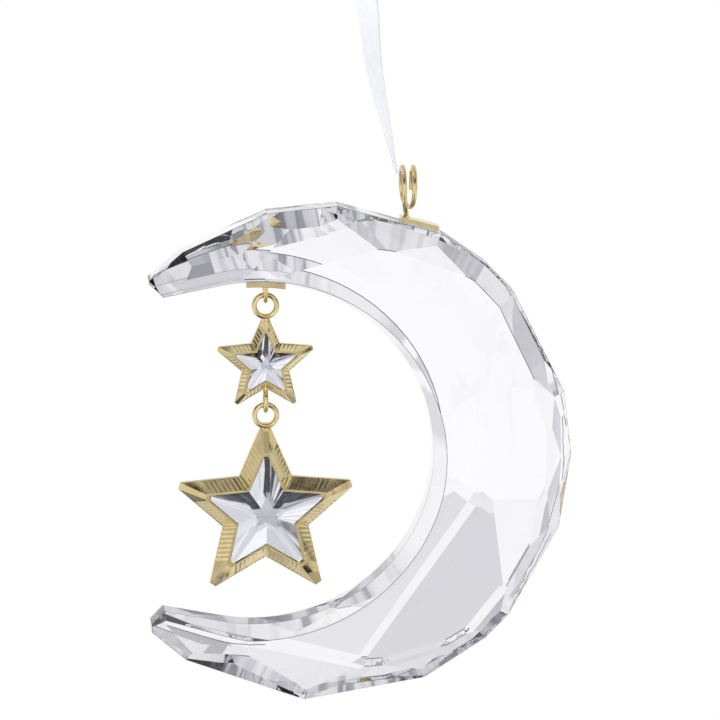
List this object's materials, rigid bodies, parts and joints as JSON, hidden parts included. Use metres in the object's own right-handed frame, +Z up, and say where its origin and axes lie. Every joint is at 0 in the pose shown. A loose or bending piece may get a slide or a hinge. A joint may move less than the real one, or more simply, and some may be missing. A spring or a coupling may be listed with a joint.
{
  "type": "moon ornament",
  "caption": "Hanging ornament: a faceted glass crescent moon on a satin ribbon, with gold-framed stars linked one below the other in its bay.",
  "frame": {"origin": "inside the top of the ribbon's hanging loop, where a hook's wire would lie", "axes": "+Z up, -Y towards the viewer (the side the star stones face), +X to the viewer's right, towards the moon's back; the moon opens towards -X"},
  "size_m": [0.0612, 0.0168, 0.1314],
  "materials": {
    "crystal": "polished facets",
    "stone": "polished facets, silvered back",
    "gold": "polished pale gold plating",
    "ribbon": "white satin"
  },
  "bodies": {
    "ribbon": {"ribbon_strand": "ribbon", "ribbon_knot": "ribbon", "ribbon_loop": "ribbon"},
    "moon": {"moon_crystal": "crystal", "top_plate": "gold", "bail_ring": "gold", "inner_plate": "gold", "inner_eye": "gold"},
    "small_star": {"small_star_frame": "gold", "small_star_stone": "stone", "small_star_eye": "gold"},
    "large_star": {"large_star_frame": "gold", "large_star_stone": "stone"}
  },
  "joints": [
    {"name": "moon_swing", "type": "hinge", "parent": "ribbon", "child": "moon", "pos_m": [0.00608, 0, -0.05157], "axis": [0, 1, 0], "range_deg": [-20, 20]},
    {"name": "small_star_swing", "type": "hinge", "parent": "moon", "child": "small_star", "pos_m": [-0.0138, 0, -0.07085], "axis": [0, 1, 0], "range_deg": [-11, 35]},
    {"name": "large_star_swing", "type": "hinge", "parent": "small_star", "child": "large_star", "pos_m": [-0.0138, 0, -0.08607], "axis": [1, 0, 0], "range_deg": [-45, 45]}
  ]
}
